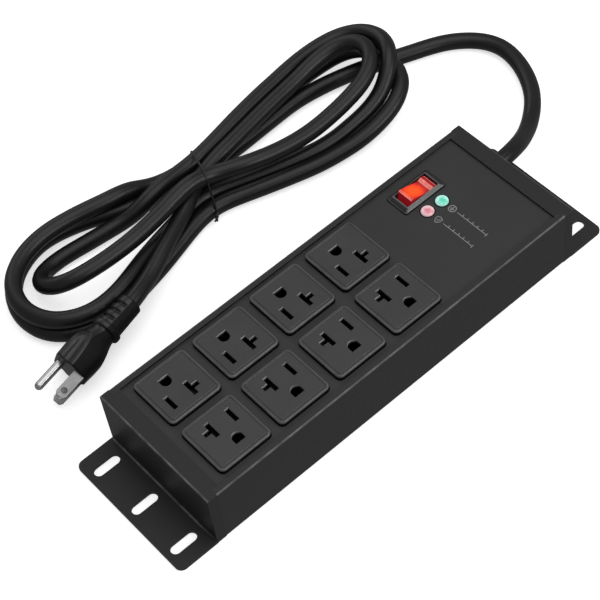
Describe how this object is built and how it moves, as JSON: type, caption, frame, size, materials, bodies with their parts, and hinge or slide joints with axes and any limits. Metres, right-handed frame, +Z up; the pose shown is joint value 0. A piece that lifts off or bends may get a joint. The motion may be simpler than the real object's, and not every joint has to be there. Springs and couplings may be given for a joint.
{
  "type": "power strip",
  "caption": "Metal-cased power strip with two rows of grounded sockets, lit rocker switch, indicator lenses, slotted end flanges and a tied supply cord with plug.",
  "frame": {"origin": "middle of the underside of the housing, on the surface it stands on", "axes": "+X along the strip towards the cord end, +Y across the strip towards the switch's long edge, +Z up out of the sockets"},
  "size_m": [0.3577, 0.2165, 0.0427],
  "materials": {
    "channel_paint": "satin black powder coat",
    "panel_paint": "satin black powder coat, fine texture",
    "bracket_paint": "satin black powder coat",
    "screw_steel": "zinc plated",
    "socket_plastic": "fine matt moulded plastic",
    "carrier_plastic": "matt moulded plastic",
    "brass": "stamped strip",
    "switch_plastic": "semi-gloss moulded plastic",
    "rocker_red": "translucent red, glossy",
    "plunger_nylon": "smooth",
    "spring_steel": "bright wire",
    "contact_copper": "stamped copper alloy",
    "tinned_metal": "tinned",
    "lamp_glass": "clear glass lamp",
    "lens_green": "translucent, glossy dome",
    "lens_red": "translucent, glossy dome",
    "led_epoxy": "clear epoxy",
    "circuit_board": "green solder mask",
    "varistor_blue": "dipped epoxy",
    "fuse_metal": "tinned case",
    "capacitor_case": "moulded box",
    "wire_black": "insulated wire",
    "wire_white": "insulated wire",
    "wire_green": "insulated wire",
    "green_screw": "green passivated",
    "cord_jacket": "satin flexible jacket",
    "tie_wire": "coated wire",
    "plug_moulding": "satin moulded",
    "prong_nickel": "nickel plated"
  },
  "bodies": {
    "housing": {"housing_channel": "channel_paint", "top_panel": "panel_paint", "end_bracket_near": "bracket_paint", "end_bracket_far": "bracket_paint", "bracket_screws": "screw_steel", "outlet_face_1": "socket_plastic", "outlet_face_2": "socket_plastic", "outlet_face_3": "socket_plastic", "outlet_face_4": "socket_plastic", "outlet_face_5": "socket_plastic", "outlet_face_6": "socket_plastic", "outlet_face_7": "socket_plastic", "outlet_face_8": "socket_plastic", "outlet_carrier_left": "carrier_plastic", "outlet_carrier_right": "carrier_plastic", "line_bus_left": "brass", "line_bus_right": "brass", "neutral_bus_left": "brass", "neutral_bus_right": "brass", "ground_bus_left": "brass", "ground_bus_right": "brass", "carrier_screws": "screw_steel", "switch_body": "switch_plastic", "switch_terminals": "tinned_metal", "switch_lamp": "lamp_glass", "led_lens_green": "lens_green", "led_lens_red": "lens_red", "led_emitters": "led_epoxy", "surge_board": "circuit_board", "varistors": "varistor_blue", "thermal_fuse": "fuse_metal", "filter_capacitor": "capacitor_case", "board_standoffs": "tinned_metal", "board_screws": "screw_steel", "ground_screw": "green_screw", "line_wires": "wire_black", "neutral_wires": "wire_white", "ground_wires": "wire_green", "strain_relief": "plug_moulding", "cord_lead": "cord_jacket", "cord_hank": "cord_jacket", "cord_tie": "tie_wire", "cord_tail": "cord_jacket", "plug_body": "plug_moulding", "plug_blade_line": "prong_nickel", "plug_blade_neutral": "prong_nickel", "plug_ground_pin": "prong_nickel"},
    "rocker": {"switch_rocker": "rocker_red", "switch_spring": "spring_steel"},
    "plunger": {"switch_plunger": "plunger_nylon"},
    "contact_lever": {"switch_contact_lever": "contact_copper"}
  },
  "joints": [
    {"name": "rocker_tilt", "type": "hinge", "parent": "housing", "child": "rocker", "pos_m": [0.0763, 0.0254, 0.0343], "axis": [0, 1, 0], "range_deg": [-20, 0]},
    {"name": "plunger_slide", "type": "slide", "parent": "rocker", "child": "plunger", "axis": [0.1736, 0, 0.9848], "range_m": [0, 0.0008], "stiffness_N_per_m": 300, "springref_m": -0.001, "deforming": ["switch_spring"]},
    {"name": "lever_tilt", "type": "hinge", "parent": "housing", "child": "contact_lever", "pos_m": [0.0763, 0.0254, 0.0222], "axis": [0, 1, 0], "range_deg": [0, 16]}
  ],
  "couplings": [
    {"joint": "lever_tilt", "follows": "rocker_tilt", "ratio": -0.8}
  ]
}
